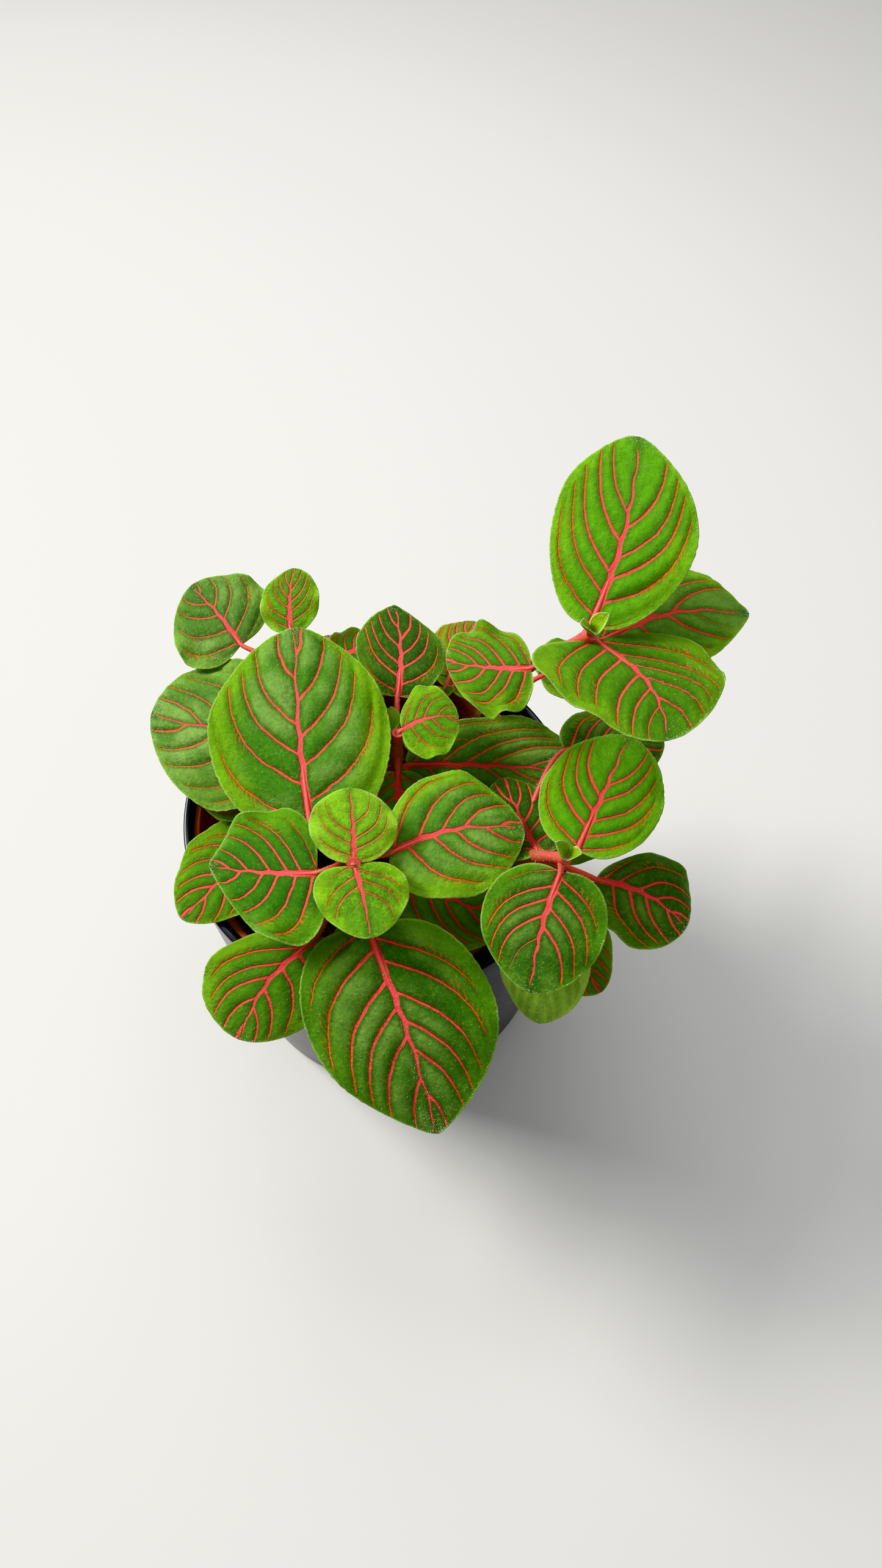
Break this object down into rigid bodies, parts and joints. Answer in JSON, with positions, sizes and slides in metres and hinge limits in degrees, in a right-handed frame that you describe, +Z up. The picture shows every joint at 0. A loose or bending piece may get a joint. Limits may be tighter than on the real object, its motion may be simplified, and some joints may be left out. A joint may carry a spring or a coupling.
{
  "type": "potted nerve plant",
  "caption": "Small nerve plant with leafy stems of broad green, pink-veined leaves, in a nursery pot that stands inside a dark cover pot.",
  "frame": {"origin": "centre of the cover pot's flat base, where it meets the surface", "axes": "+Z up along the pot's axis, +X to the right and +Y away from the viewer in the picture"},
  "size_m": [0.1442, 0.1432, 0.1635],
  "materials": {
    "cover_glaze": "gloss",
    "terracotta_plastic": "satin",
    "potting_soil": "matte",
    "foliage": "satin"
  },
  "bodies": {
    "root": {"cover_pot": "cover_glaze", "nursery_pot": "terracotta_plastic", "soil": "potting_soil", "centre_stem": "foliage", "left_stem": "foliage", "right_stem": "foliage", "tall_stem": "foliage", "middle_stem": "foliage", "back_left_stem": "foliage", "back_stem": "foliage"}
  },
  "joints": []
}
